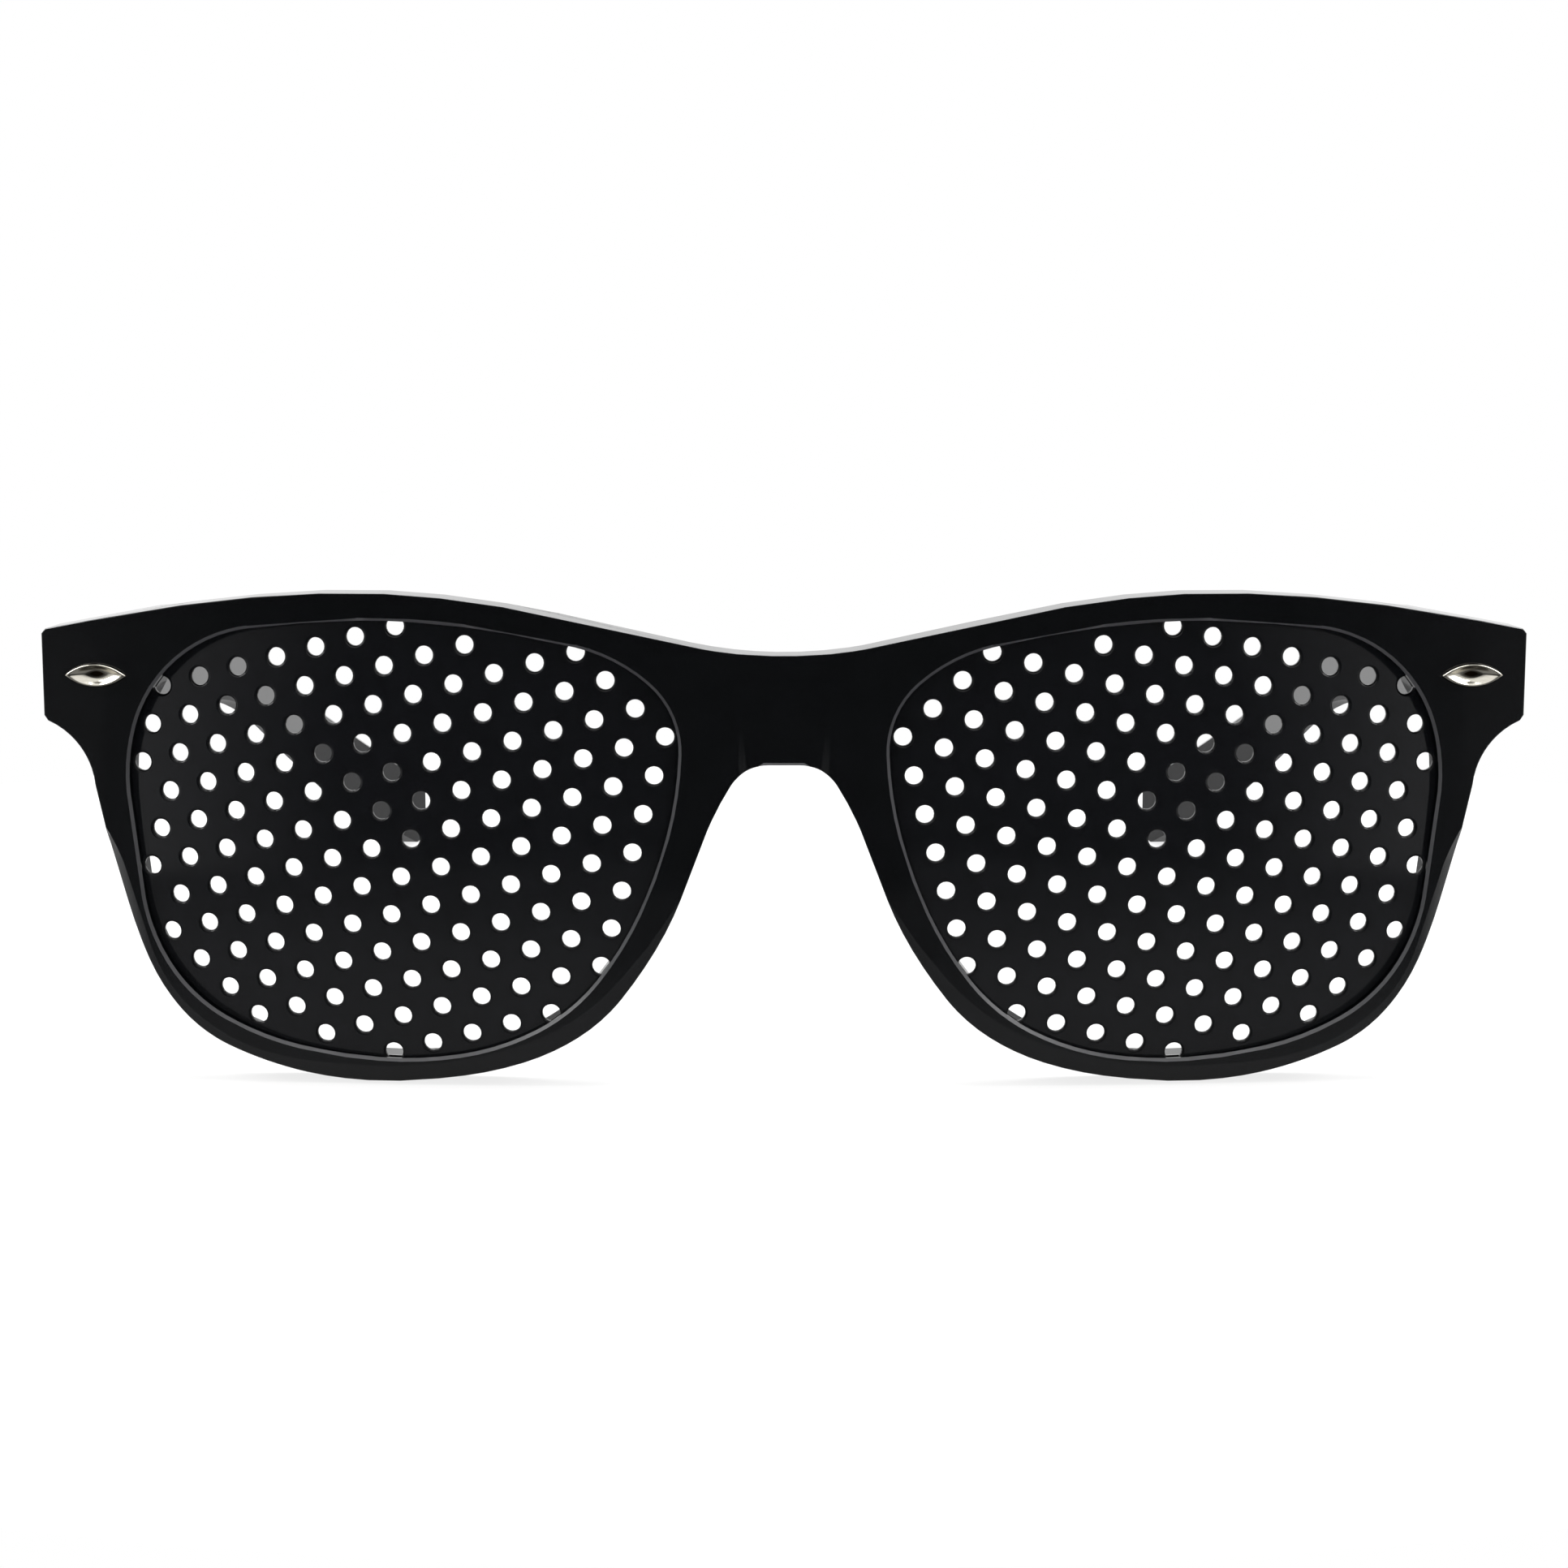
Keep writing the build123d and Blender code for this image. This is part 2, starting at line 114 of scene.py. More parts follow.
@dataclass(frozen=True)
class TempleShape:
    """How an open temple runs back from its hinge."""

    side: Side
    toe_in: float = 3.5

    def place(self, z: float) -> tuple[Vector, Vector, Vector]:
        """Find the hinge axis at a height, and the temple's directions.

        Args:
            z: Height, in metres.

        Returns:
            The point in metres, the direction along the temple, and the outward direction.
        """
        name = self.side.word + "_temple_fold"
        hinge = next(joint for joint in frame["joints"] if joint["name"] == name)["pos_m"]
        toe = math.radians(self.toe_in)
        along = Vector((-math.sin(toe) * self.side.value, math.cos(toe), 0.0))
        out = Vector((math.cos(toe) * self.side.value, math.sin(toe), 0.0))
        return Vector((hinge[0], hinge[1], z)), along, out


# Colours and shader nodes


def linear(hex_colour: str) -> tuple[float, float, float, float]:
    """Turn an sRGB hex colour into linear red, green, blue and alpha.

    Args:
        hex_colour: Six hex digits after a hash sign.

    Returns:
        Linear components, with an alpha of 1.
    """
    parts = [int(hex_colour[i : i + 2], 16) / 255 for i in (1, 3, 5)]
    red, green, blue = (c / 12.92 if c <= 0.04045 else ((c + 0.055) / 1.055) ** 2.4 for c in parts)
    return (red, green, blue, 1.0)


def add_node(
    tree: NodeTree,
    kind: str,
    settings: dict[str, object] | None = None,
    inputs: dict[object, object] | None = None,
) -> Node:
    """Add a node with its settings and links.

    Args:
        tree: Tree that gets the node.
        kind: The node's type.
        settings: Attributes of the node.
        inputs: Input name or number, to its value or to what feeds it: an output socket, a node
            that feeds it by its first output in use, or a list of these.

    Returns:
        The new node.
    """
    node = tree.nodes.new(kind)
    for name, value in (settings or {}).items():
        setattr(node, name, value)
    for name, value in (inputs or {}).items():
        for feed in value if isinstance(value, list) else [value]:
            if isinstance(feed, Node):
                feed = next(socket for socket in feed.outputs if socket.enabled)
            if isinstance(feed, NodeSocket):
                tree.links.new(feed, node.inputs[name])
            else:
                node.inputs[name].default_value = feed
    return node


def ramp(value: object, *levels: object) -> dict[str, object]:
    """Inputs of a ramp: its value, the start and end of that, and the level at each."""
    return {"Value": value, **dict(zip(("From Min", "From Max", "To Min", "To Max"), levels))}


def new_material(name: str) -> tuple[Material, NodeTree]:
    """Make an empty node material.

    Args:
        name: Name of the finish.

    Returns:
        The material and its empty tree.
    """
    material = bpy.data.materials.new(name)
    material.use_nodes = True
    material.node_tree.nodes.clear()
    return material, material.node_tree


def toned(tree: NodeTree, colour: Node, attribute: str, tone: str) -> tuple[Node, NodeSocket]:
    """Turn a colour into a tone where an attribute of the mesh says so.

    Args:
        tree: The material's tree.
        colour: Node that gives the colour.
        attribute: Name of the attribute: 0 keeps the colour, and 1 gives the tone.
        tone: The tone, as an sRGB hex colour.

    Returns:
        Node that gives the new colour, and the attribute's socket.
    """
    share = add_node(tree, "ShaderNodeAttribute", {"attribute_name": attribute}).outputs["Fac"]
    mixed = add_node(
        tree, "ShaderNodeMix", {"data_type": "RGBA"}, {0: share, 6: colour, 7: linear(tone)}
    )
    return mixed, share


@dataclass(frozen=True)
class MouldedPolycarbonate:
    """Black polycarbonate from a polished mould: deep black, glossy, with a faint flow ripple.

    The eye gets sharp reflections at a grazing angle, very dark faces seen square on, and
    handling marks that only show as a change of gloss. Real marks are finer than a tenth of a
    millimetre, and are drawn coarser here so that they show.
    """

    name: str
    slot: str
    deep: str = "#050607"
    raised: str = "#0b0c0e"
    # Colour of the painted shade on the lips of the holes
    hollow: str = "#020203"
    # Lighter grey of the matt bevel round an opening: a painted highlight
    satin: str = "#343437"
    roughness: float = 0.06
    worn_roughness: float = 0.16
    satin_roughness: float = 0.42
    refraction: float = 1.58
    shine: float = 0.5
    # Shine where painted shade darkens the lips of the holes
    hollow_shine: float = 0.06
    ripple: float = 2.6
    ripple_detail: float = 2.0
    ripple_height: float = 0.0035
    ripple_strength: float = 0.6
    mark: float = 0.5
    mark_detail: float = 6.0
    mark_start: float = 0.55
    mark_full: float = 0.8

    def build(self) -> Material:
        """Make the material.

        One mesh attribute paints shade on the lips of the holes: a near black with little shine.
        Another marks the bevel round an opening, which is left matt and gets a lighter grey as a
        painted highlight, so that it shows as a thin grey line.

        Returns:
            The material.
        """
        material, tree = new_material(self.name)
        place = add_node(tree, "ShaderNodeTexCoord").outputs["Object"]
        ripple, mark = (
            add_node(
                tree,
                "ShaderNodeTexNoise",
                inputs={"Vector": place, "Scale": 1 / (width * MM), "Detail": detail},
            )
            for width, detail in ((self.ripple, self.ripple_detail), (self.mark, self.mark_detail))
        )
        colour = add_node(
            tree,
            "ShaderNodeMix",
            {"data_type": "RGBA"},
            {0: ripple, 6: linear(self.deep), 7: linear(self.raised)},
        )
        # Painted shade where the mesh says so, on the lips of the holes: near black, with little
        # shine
        colour, hollow = toned(tree, colour, "hollow", self.hollow)
        # The bevel round an opening: matt, and lighter grey as a painted highlight
        colour, satin = toned(tree, colour, "satin", self.satin)
        shine, gloss = (
            add_node(tree, "ShaderNodeMapRange", inputs=ramp(*span))
            for span in (
                (hollow, 0.0, 1.0, self.shine, self.hollow_shine),
                (mark, self.mark_start, self.mark_full, self.roughness, self.worn_roughness),
            )
        )
        dulled = ramp(satin, 0.0, 1.0, gloss, self.satin_roughness)
        gloss = add_node(tree, "ShaderNodeMapRange", inputs=dulled)
        bump = add_node(
            tree,
            "ShaderNodeBump",
            inputs={
                "Height": ripple,
                "Strength": self.ripple_strength,
                "Distance": self.ripple_height * MM,
            },
        )
        shader = add_node(
            tree,
            "ShaderNodeBsdfPrincipled",
            inputs={
                "Base Color": colour,
                "Roughness": gloss,
                "Normal": bump,
                "IOR": self.refraction,
                "Specular IOR Level": shine,
            },
        )
        add_node(tree, "ShaderNodeOutputMaterial", inputs={"Surface": shader})
        return material


@dataclass(frozen=True)
class PlatedMetal:
    """Plated or polished metal: bright, with a grain that spreads its gloss a little.

    Real polishing grain is finer than a tenth of a millimetre, and is drawn coarser here so that
    it shows.
    """

    name: str
    slot: str
    bright: str
    dull: str
    # Colour of painted shade, where a mesh attribute asks for it
    hollow: str
    roughness: float
    worn_roughness: float
    grain: float
    grain_detail: float = 4.0
    grain_strength: float = 0.3
    grain_depth: float = 0.004
    finer_upwards: float = 6.0

    def build(self) -> Material:
        """Make the material; a mesh attribute marks where it gets painted shade.

        Returns:
            The material.
        """
        material, tree = new_material(self.name)
        place = add_node(tree, "ShaderNodeTexCoord").outputs["Object"]
        along = add_node(
            tree,
            "ShaderNodeMapping",
            inputs={"Vector": place, "Scale": (1.0, 1.0, self.finer_upwards)},
        )
        grain = add_node(
            tree,
            "ShaderNodeTexNoise",
            inputs={"Vector": along, "Scale": 1 / (self.grain * MM), "Detail": self.grain_detail},
        )
        colour = add_node(
            tree,
            "ShaderNodeMix",
            {"data_type": "RGBA"},
            {0: grain, 6: linear(self.dull), 7: linear(self.bright)},
        )
        # Painted shade where the mesh says so, in the dish of a trim
        colour, _ = toned(tree, colour, "hollow", self.hollow)
        worn = ramp(grain, 0.0, 1.0, self.roughness, self.worn_roughness)
        gloss = add_node(tree, "ShaderNodeMapRange", inputs=worn)
        bump = add_node(
            tree,
            "ShaderNodeBump",
            inputs={
                "Height": grain,
                "Strength": self.grain_strength,
                "Distance": self.grain_depth * MM,
            },
        )
        shader = add_node(
            tree,
            "ShaderNodeBsdfPrincipled",
            inputs={"Base Color": colour, "Metallic": 1.0, "Roughness": gloss, "Normal": bump},
        )
        add_node(tree, "ShaderNodeOutputMaterial", inputs={"Surface": shader})
        return material


# Front and temples: a polished mould, so they mirror the studio sharply
FRAME_PLASTIC = MouldedPolycarbonate("polished_black_polycarbonate", "gloss_black_plastic")
# Plates: a tool that is a little less polished, so their highlights are softer and wider
PLATE_PLASTIC = MouldedPolycarbonate(
    "moulded_black_plate_polycarbonate",
    "satin_black_plastic",
    deep="#08090b",
    raised="#101114",
    roughness=0.12,
    worn_roughness=0.24,
    ripple=1.8,
    ripple_height=0.005,
)
# Hinges: nickel on stamped steel, a soft grey shine
HINGE_METAL = PlatedMetal(
    "nickel_plated_hinge_steel",
    "hinge_metal",
    bright="#c4c2bc",
    dull="#a3a19b",
    hollow="#4a4843",
    roughness=0.22,
    worn_roughness=0.38,
    grain=0.25,
)
# Trims: a polished inlay, warm and nearly a mirror, with painted dark brown shade in its dish
TRIM_METAL = PlatedMetal(
    "polished_inlay_metal",
    "polished_trim",
    bright="#efece2",
    dull="#cfc9ba",
    hollow="#33271b",
    roughness=0.08,
    worn_roughness=0.18,
    grain=0.4,
)


# Geometry Nodes trees and meshes


def new_tree(name: str, sizes: tuple[str, ...]) -> tuple[NodeTree, Node]:
    """Start a Geometry Nodes tree with a geometry and named sizes as its inputs.

    Args:
        name: Name of the tree.
        sizes: Names of its number inputs.

    Returns:
        The tree and its input node.
    """
    tree = bpy.data.node_groups.new(name, "GeometryNodeTree")
    face = tree.interface
    face.new_socket("Geometry", in_out="INPUT", socket_type="NodeSocketGeometry")
    for size in sizes:
        face.new_socket(size, in_out="INPUT", socket_type="NodeSocketFloat")
    face.new_socket("Geometry", in_out="OUTPUT", socket_type="NodeSocketGeometry")
    return tree, add_node(tree, "NodeGroupInput")


def finish_tree(tree: NodeTree, shape: Node, material: Material) -> NodeTree:
    """End a tree with real meshes in one material.

    Args:
        tree: The tree.
        shape: Node that gives the geometry.
        material: Finish of the result.

    Returns:
        The same tree.
    """
    real = add_node(tree, "GeometryNodeRealizeInstances", inputs={0: shape})
    dressed = add_node(
        tree, "GeometryNodeSetMaterial", inputs={"Geometry": real, "Material": material}
    )
    add_node(tree, "NodeGroupOutput", inputs={"Geometry": dressed})
    return tree


def smooth_tree(limit: float) -> NodeTree:
    """Node tree that shades a mesh smooth, apart from edges sharper than a limit.

    Args:
        limit: Angle between faces, in degrees.

    Returns:
        The tree.
    """
    tree, start = new_tree("smooth_shading", ("Limit",))
    tree.interface.items_tree["Limit"].default_value = math.radians(limit)
    faces = add_node(
        tree,
        "GeometryNodeSetShadeSmooth",
        {"domain": "FACE"},
        {"Geometry": start.outputs["Geometry"]},
    )
    angle = add_node(tree, "GeometryNodeInputMeshEdgeAngle").outputs["Unsigned Angle"]
    blunt = add_node(
        tree,
        "FunctionNodeCompare",
        {"operation": "LESS_THAN"},
        {0: angle, 1: start.outputs["Limit"]},
    )
    edges = add_node(
        tree,
        "GeometryNodeSetShadeSmooth",
        {"domain": "EDGE"},
        {"Geometry": faces, "Shade Smooth": blunt},
    )
    add_node(tree, "NodeGroupOutput", inputs={"Geometry": edges})
    return tree


SMOOTH = smooth_tree(SMOOTH_BELOW)


def add_object(name: str, data: ID) -> Object:
    """Put a mesh, a lamp or a camera into the scene as a new object."""
    item = bpy.data.objects.new(name, data)
    bpy.context.scene.collection.objects.link(item)
    return item


def round_edges(
    piece: Object,
    width: float,
    join: float = 0.02,
    flat_angle: float = 0.6,
    segments: int = 4,
) -> None:
    """Round a piece's edges and shade it smooth, with modifiers.

    Thin triangles beside an edge would fold over when the edge is rounded, so faces that lie
    almost in one plane are made one face first.

    Args:
        piece: Mesh object.
        width: Width of the rounding, in millimetres.
        join: Corners nearer than this, in millimetres, are made one.
        flat_angle: Faces that turn by less than this, in degrees, are made one.
        segments: Facets across the rounding.
    """
    weld = piece.modifiers.new("join", "WELD")
    weld.merge_threshold = join * MM
    flat = piece.modifiers.new("flat", "DECIMATE")
    flat.decimate_type = "DISSOLVE"
    flat.angle_limit = math.radians(flat_angle)
    bevel = piece.modifiers.new("round", "BEVEL")
    bevel.width = width * MM
    bevel.segments = segments
    bevel.use_clamp_overlap = False
    bevel.limit_method = "ANGLE"
    bevel.angle_limit = math.radians(ROUND_ABOVE)
    smooth = piece.modifiers.new("smooth", "NODES")
    smooth.node_group = SMOOTH
    even = piece.modifiers.new("even", "WEIGHTED_NORMAL")
    even.keep_sharp = True
    even.weight = LARGE_FACE_WEIGHT


def dress(piece: Object, material: Material) -> None:
    """Give a piece one material.

    Args:
        piece: Mesh object.
        material: Its finish.
    """
    piece.data.materials.clear()
    piece.data.materials.append(material)


def grown(name: str, mesh: Mesh, tree: NodeTree, values: dict[str, float]) -> Object:
    """Run a Geometry Nodes tree on a mesh and keep the result as a plain mesh.

    Args:
        name: Name of the piece.
        mesh: What the tree starts from.
        tree: The tree.
        values: Its named inputs.

    Returns:
        Object with the result as its mesh and no modifiers.
    """
    piece = add_object(name, mesh)
    modifier = piece.modifiers.new("grow", "NODES")
    modifier.node_group = tree
    for item in tree.interface.items_tree:
        if item.item_type == "SOCKET" and item.in_out == "INPUT" and item.name in values:
            modifier[item.identifier] = values[item.name]
    bpy.context.view_layer.update()
    graph = bpy.context.evaluated_depsgraph_get()
    result = bpy.data.meshes.new_from_object(piece.evaluated_get(graph))
    piece.modifiers.clear()
    piece.data = result
    return piece


def close_shell(mesh: Mesh) -> None:
    """Merge a shell's doubled points, turn its faces outwards and shade it smooth.

    Args:
        mesh: Closed mesh.
    """
    shell = bmesh.new()
    shell.from_mesh(mesh)
    bmesh.ops.remove_doubles(shell, verts=shell.verts, dist=SAME_POINT * MM)
    bmesh.ops.recalc_face_normals(shell, faces=shell.faces)
    for face in shell.faces:
        face.smooth = True
    shell.to_mesh(mesh)
    shell.free()


def mark_hollow(mesh: Mesh, shares: np.ndarray) -> None:
    """Store how much painted shade each point of a mesh gets.

    Args:
        mesh: The mesh.
        shares: For each point, 0 for none and 1 for full painted shade.
    """
    attribute = mesh.attributes.new("hollow", "FLOAT", "POINT")
    attribute.data.foreach_set("value", shares.astype(np.float32))


def mesh_points(mesh: Mesh) -> np.ndarray:
    """Read the places of a mesh's points.

    Args:
        mesh: The mesh.

    Returns:
        A row of three numbers for each point.
    """
    flat = np.empty(len(mesh.vertices) * 3, dtype=np.float32)
    mesh.vertices.foreach_get("co", flat)
    return flat.reshape(-1, 3).astype(float)


# The perforated plates


@dataclass
class PinholePlate:
    """Plate of one rim: a shallow bulge with round holes on a slanted lattice, in millimetres."""

    side: Side
    material: Material
    front: FrontShape
    radius: float = 130.0
    thickness: float = 0.8
    bulge: float = 1.1
    tuck: float = 1.0
    width: float = 53.7
    height: float = 43.1
    hole: float = 1.8
    lip_width: float = 0.25
    lip_depth: float = 0.12
    hole_sides: int = 20
    pitch_up: float = 4.035
    pitch_down: float = 3.96
    angle_up: float = 14.5
    angle_down: float = 43.8
    start_x: float = 4.91
    start_z: float = 1.52
    # Plate left round the outermost holes. The solids keep 0.3 on a slightly different curve, and
    # this value gives the same holes as they have.
    margin: float = 0.27
    outline_points: int = 160
    # A point this near to one of the plate's two spheres lies on a skin, and so does a face
    # there whose normal has a cosine over the second value to the radius
    skin_play: float = 0.002
    skin_facing: float = 0.5

    # Opening of the rim as shares of its half width, outwards, and of its half height
    SHARES = (
        (1.0, 0.145), (0.945, 0.594), (0.805, 0.829), (0.534, 0.954), (0.199, 0.998),
        (-0.144, 0.985), (-0.436, 0.935), (-0.695, 0.850), (-0.863, 0.748), (-0.967, 0.603),
        (-1.0, 0.420), (-0.953, 0.012), (-0.857, -0.319), (-0.737, -0.570), (-0.590, -0.775),
        (-0.417, -0.902), (0.032, -1.0), (0.437, -0.936), (0.652, -0.840), (0.814, -0.675),
        (0.920, -0.459), (0.974, -0.173),
    )

    # Arithmetic of the plate's tree: result, operation and its two terms. The squares and what
    # follows them lay the flat plate on its sphere: a point off the axis falls back.
    STEPS = (
        ("Lip radius", "ADD", "Hole radius", "Lip width"),
        ("Back", "MULTIPLY", "Thickness", -1.0),
        ("Both lips", "MULTIPLY", "Lip depth", 2.0),
        ("Bore depth", "SUBTRACT", "Thickness", "Both lips"),
        ("Lip bottom", "MULTIPLY", "Lip depth", -1.0),
        ("Bore bottom", "ADD", "Back", "Lip depth"),
        ("X squared", "MULTIPLY", "X", "X"),
        ("Y squared", "MULTIPLY", "Y", "Y"),
        ("Off axis squared", "ADD", "X squared", "Y squared"),
        ("Reach", "ADD", "Plate radius", "Z"),
        ("Reach squared", "MULTIPLY", "Reach", "Reach"),
        ("Height squared", "SUBTRACT", "Reach squared", "Off axis squared"),
        ("Height", "SQRT", "Height squared", 0.0),
        ("Sphere centre", "SUBTRACT", "Bulge", "Plate radius"),
        ("Level", "ADD", "Height", "Sphere centre"),
    )

    def outline(self, grow: float) -> np.ndarray:
        """Smooth closed line round the opening, moved outwards.

        Args:
            grow: Distance outwards.

        Returns:
            Points round the opening's centre, seen from the front, in two columns.
        """
        knots = np.array(self.SHARES) * (self.width / 2, self.height / 2)
        count = len(knots)
        lap = 3
        spread = np.concatenate([knots[-lap:], knots, knots[:lap]])
        steps = np.linalg.norm(np.diff(spread, axis=0), axis=1)
        place = np.concatenate([[0.0], np.cumsum(steps)])
        slopes = np.gradient(spread, place, axis=0)
        spots = np.linspace(place[lap], place[lap + count], self.outline_points, endpoint=False)
        points = []
        for spot in spots:
            i = min(int(np.searchsorted(place, spot, side="right")) - 1, len(place) - 2)
            gap = place[i + 1] - place[i]
            t = (spot - place[i]) / gap
            points.append(
                (2 * t**3 - 3 * t**2 + 1) * spread[i]
                + (t**3 - 2 * t**2 + t) * gap * slopes[i]
                + (3 * t**2 - 2 * t**3) * spread[i + 1]
                + (t**3 - t**2) * gap * slopes[i + 1]
            )
        line = np.array(points)
        along = np.roll(line, -1, axis=0) - np.roll(line, 1, axis=0)
        along /= np.linalg.norm(along, axis=1, keepdims=True)
        return line + grow * np.column_stack([along[:, 1], -along[:, 0]]) * self.turn_sign(line)

    @staticmethod
    def turn_sign(line: np.ndarray) -> float:
        """Sign that makes the right-hand side of a closed line its outside."""
        ahead = np.roll(line, -1, axis=0)
        return 1.0 if np.sum(line[:, 0] * ahead[:, 1] - ahead[:, 0] * line[:, 1]) > 0 else -1.0

    def hole_places(self) -> np.ndarray:
        """Find the places of the lattice where a hole fits on the plate.

        Returns:
            Centres of the holes, round the opening's centre, in two columns.
        """
        field = self.outline(self.tuck - self.margin - self.hole / 2)
        up, down = math.radians(self.angle_up), math.radians(self.angle_down)
        row_up = np.array([-math.cos(up), math.sin(up)]) * self.pitch_up
        row_down = np.array([-math.cos(down), -math.sin(down)]) * self.pitch_down
        reach = int(self.width / min(self.pitch_up, self.pitch_down)) + 1
        ahead = np.roll(field, -1, axis=0)
        places = []
        for i in range(-reach, reach + 1):
            for j in range(-reach, reach + 1):
                spot = np.array([-self.start_x, self.start_z]) + row_up * i + row_down * j
                crosses = (field[:, 1] > spot[1]) != (ahead[:, 1] > spot[1])
                rise = np.where(crosses, ahead[:, 1] - field[:, 1], 1.0)
                cut = field[:, 0] + (spot[1] - field[:, 1]) / rise * (ahead[:, 0] - field[:, 0])
                if np.count_nonzero(crosses & (spot[0] < cut)) % 2:
                    places.append(spot)
        return np.array(places)

    def tree(self) -> NodeTree:
        """Geometry Nodes tree: an outline and its hole centres become a bulged, pierced plate.

        Returns:
            The tree.
        """
        tree, start = new_tree("pierced_plate_" + self.side.word, tuple(self.sizes()))

        def lift(shape: Node, height: object) -> Node:
            """Geometry moved along its Z axis."""
            step = add_node(tree, "ShaderNodeCombineXYZ", inputs={"Z": height})
            return add_node(
                tree, "GeometryNodeSetPosition", inputs={"Geometry": shape, "Offset": step}
            )

        here = add_node(tree, "GeometryNodeInputPosition")
        axes = add_node(tree, "ShaderNodeSeparateXYZ", inputs={"Vector": here})
        size = {socket.name: socket for socket in (*start.outputs, *axes.outputs)}
        for result, operation, first, second in self.STEPS:
            size[result] = add_node(
                tree,
                "ShaderNodeMath",
                {"operation": operation},
                {0: size[first], 1: size.get(second, second)},
            )
        marked = add_node(
            tree, "GeometryNodeInputNamedAttribute", {"data_type": "BOOLEAN"}, {"Name": "hole"}
        )
        parts = add_node(
            tree,
            "GeometryNodeSeparateGeometry",
            {"domain": "POINT"},
            {"Geometry": size["Geometry"], "Selection": marked},
        ).outputs
        edge = add_node(tree, "GeometryNodeMeshToCurve", inputs={"Mesh": parts["Inverted"]})
        ring = add_node(
            tree,
            "GeometryNodeCurvePrimitiveCircle",
            inputs={"Resolution": self.hole_sides, "Radius": size["Lip radius"]},
        )
        rings = add_node(
            tree,
            "GeometryNodeInstanceOnPoints",
            inputs={"Points": parts["Selection"], "Instance": ring},
        )
        rings = add_node(tree, "GeometryNodeRealizeInstances", inputs={0: rings})
        lines = add_node(tree, "GeometryNodeJoinGeometry", inputs={"Geometry": [edge, rings]})
        skin = add_node(tree, "GeometryNodeFillCurve", inputs={"Curve": lines})
        down = add_node(tree, "ShaderNodeCombineXYZ", inputs={"Z": -1.0})
        wall = add_node(
            tree,
            "GeometryNodeExtrudeMesh",
            {"mode": "EDGES"},
            {"Mesh": parts["Inverted"], "Offset": down, "Offset Scale": size["Thickness"]},
        )
        # A hole is a sleeve of three rings: its front lip, its bore and its back lip
        sleeve = []
        for low, high, depth, bottom in (
            ("Hole radius", "Lip radius", "Lip depth", "Lip bottom"),
            ("Hole radius", "Hole radius", "Bore depth", "Bore bottom"),
            ("Lip radius", "Hole radius", "Lip depth", "Back"),
        ):
            ring = add_node(
                tree,
                "GeometryNodeMeshCone",
                {"fill_type": "NONE"},
                {
                    "Vertices": self.hole_sides,
                    "Radius Bottom": size[low],
                    "Radius Top": size[high],
                    "Depth": size[depth],
                },
            )
            sleeve.append(lift(ring, size[bottom]))
        bore = add_node(tree, "GeometryNodeJoinGeometry", inputs={"Geometry": sleeve})
        holes = add_node(
            tree,
            "GeometryNodeInstanceOnPoints",
            inputs={"Points": parts["Selection"], "Instance": bore},
        )
        shapes = [skin, lift(skin, size["Back"]), wall, holes]
        flat = add_node(tree, "GeometryNodeJoinGeometry", inputs={"Geometry": shapes})
        flat = add_node(tree, "GeometryNodeRealizeInstances", inputs={0: flat})
        bent = add_node(
            tree,
            "ShaderNodeCombineXYZ",
            inputs={"X": size["X"], "Y": size["Y"], "Z": size["Level"]},
        )
        plate = add_node(
            tree, "GeometryNodeSetPosition", inputs={"Geometry": flat, "Position": bent}
        )
        return finish_tree(tree, plate, self.material)

    def sizes(self) -> dict[str, float]:
        """Named inputs of the tree, in metres."""
        return {
            "Hole radius": self.hole / 2 * MM,
            "Lip width": self.lip_width * MM,
            "Lip depth": self.lip_depth * MM,
            "Plate radius": self.radius * MM,
            "Bulge": self.bulge * MM,
            "Thickness": self.thickness * MM,
        }

    def placed(self, mesh: Mesh) -> Vector:
        """Move a mesh from the lens plane, whose Z axis points forwards, into the front.

        Args:
            mesh: The plate's mesh.

        Returns:
            Centre of the plate's sphere.
        """
        origin, across, forwards = self.front.place(self.front.opening_x, self.front.opening_z)
        mirror = Vector((self.side.value, 1.0, 1.0))
        for vertex in mesh.vertices:
            x, z, out = vertex.co
            vertex.co = (origin + across * x + Vector((0, 0, z)) + forwards * out) * mirror
        return (origin + forwards * (self.bulge - self.radius) * MM) * mirror

    def smooth_skin(self, mesh: Mesh, centre: Vector) -> None:
        """Shade both skins as true spheres, so that long faces between the holes don't show.

        Args:
            mesh: The plate's mesh, in its place.
            centre: Centre of its sphere.
        """
        points = mesh_points(mesh) - np.array(centre)
        away = np.linalg.norm(points, axis=1)
        skins = np.array([self.radius, self.radius - self.thickness]) * MM
        on_skin = np.min(np.abs(away[:, None] - skins), axis=1) < self.skin_play * MM
        radial = points / away[:, None]
        normals = []
        for polygon in mesh.polygons:
            facing = np.array(polygon.normal)
            for index in polygon.vertices:
                along = float(radial[index] @ facing)
                if on_skin[index] and abs(along) > self.skin_facing:
                    normals.append(radial[index] * math.copysign(1.0, along))
                elif on_skin[index]:
                    normals.append(facing)
                else:
                    normals.append(np.array(mesh.vertices[index].normal))
        mesh.normals_split_custom_set([tuple(normal) for normal in normals])

